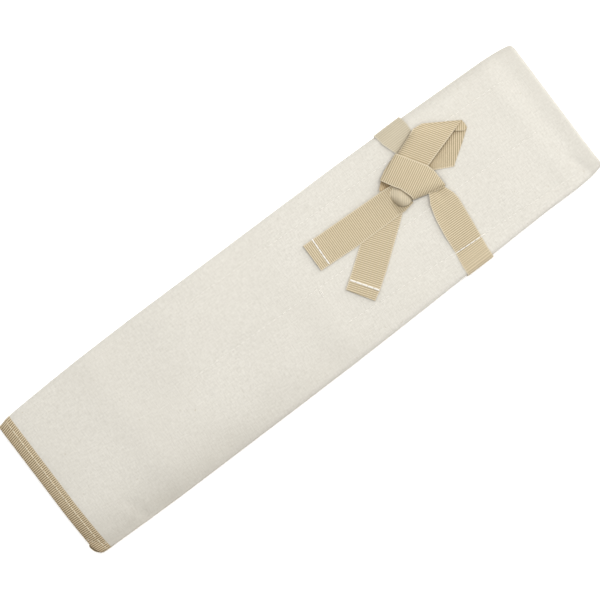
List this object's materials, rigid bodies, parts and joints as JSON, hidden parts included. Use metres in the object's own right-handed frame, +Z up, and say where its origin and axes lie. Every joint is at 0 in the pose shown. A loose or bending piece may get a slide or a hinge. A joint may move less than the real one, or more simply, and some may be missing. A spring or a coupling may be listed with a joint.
{
  "type": "knife wallet",
  "caption": "Long folded canvas knife wallet bound in ribbed tape; its cover and tuck-in flap fold open over stitched blade pockets, and a tape tied in a half bow holds it shut.",
  "frame": {"origin": "centre of the folded wallet's underside, on the surface it lies on", "axes": "+X along the length towards the plain folded end, +Y across the width towards the fold that the cover turns on, +Z up out of the cover"},
  "size_m": [0.5144, 0.1402, 0.0217],
  "materials": {
    "canvas": "natural cotton canvas, matt plain weave",
    "tape": "tan grosgrain with crosswise ribs, low sheen",
    "thread": "cream sewing thread"
  },
  "bodies": {
    "base_panel": {"base_canvas": "canvas", "base_pocket_layer": "canvas", "base_pocket_fold": "canvas", "base_top_binding": "tape", "base_side_binding": "tape", "base_mouth_binding": "tape", "base_stitch_1": "thread", "base_stitch_2": "thread", "base_top_stitch": "thread", "base_side_stitch": "thread", "upper_fold_canvas": "canvas", "upper_fold_pocket": "canvas", "upper_fold_binding": "tape", "upper_fold_mouth_binding": "tape", "tie_back_run": "tape", "tie_wrap_upper": "tape"},
    "cover_panel": {"cover_canvas": "canvas", "cover_pocket_deep": "canvas", "cover_pocket_shallow": "canvas", "cover_pocket_fold": "canvas", "cover_top_binding": "tape", "cover_mouth_binding_deep": "tape", "cover_mouth_binding_shallow": "tape", "cover_stitch_1": "thread", "cover_stitch_2": "thread", "cover_stitch_3": "thread", "cover_bar_stitch": "thread", "cover_top_stitch": "thread", "lower_fold_canvas": "canvas", "lower_fold_binding": "tape", "tie_wrap_lower": "tape", "tie_front_lower": "tape", "tie_front_upper": "tape", "tie_anchor_stitch": "thread", "knot_core": "tape", "knot_wrap": "tape"},
    "tuck_flap": {"flap_canvas": "canvas", "flap_top_binding": "tape", "flap_side_binding": "tape", "flap_end_hem": "canvas", "flap_top_stitch": "thread", "flap_side_stitch": "thread"},
    "long_tail": {"tail_long": "tape", "tail_long_hem_stitch": "thread"},
    "short_tail": {"tail_short": "tape", "tail_short_hem_stitch": "thread"},
    "loop": {"bow_loop": "tape"}
  },
  "joints": [
    {"name": "cover_fold", "type": "hinge", "parent": "base_panel", "child": "cover_panel", "pos_m": [0, 0.061, 0.0087], "axis": [-1, 0, 0], "range_deg": [0, 179.5], "deforming": ["upper_fold_canvas", "upper_fold_pocket", "upper_fold_binding", "upper_fold_mouth_binding", "tie_wrap_upper"]},
    {"name": "tuck_fold", "type": "hinge", "parent": "cover_panel", "child": "tuck_flap", "pos_m": [0, -0.06485, 0.0129], "axis": [-1, 0, 0], "range_deg": [0, 179.5], "deforming": ["lower_fold_canvas", "lower_fold_binding", "tie_wrap_lower"]},
    {"name": "long_tail_lift", "type": "hinge", "parent": "cover_panel", "child": "long_tail", "pos_m": [0.1007, 0.0167, 0.0189], "axis": [0, 1, 0], "range_deg": [0, 85]},
    {"name": "short_tail_lift", "type": "hinge", "parent": "cover_panel", "child": "short_tail", "pos_m": [0.083, 0.0042, 0.0182], "axis": [-1, 0, 0], "range_deg": [0, 85]},
    {"name": "loop_lift", "type": "hinge", "parent": "cover_panel", "child": "loop", "pos_m": [0.13775, 0.0346, 0.0201], "axis": [0.5325, -0.8464, 0], "range_deg": [0, 75]}
  ],
  "couplings": [
    {"joint": "tuck_fold", "follows": "cover_fold", "ratio": 1}
  ]
}
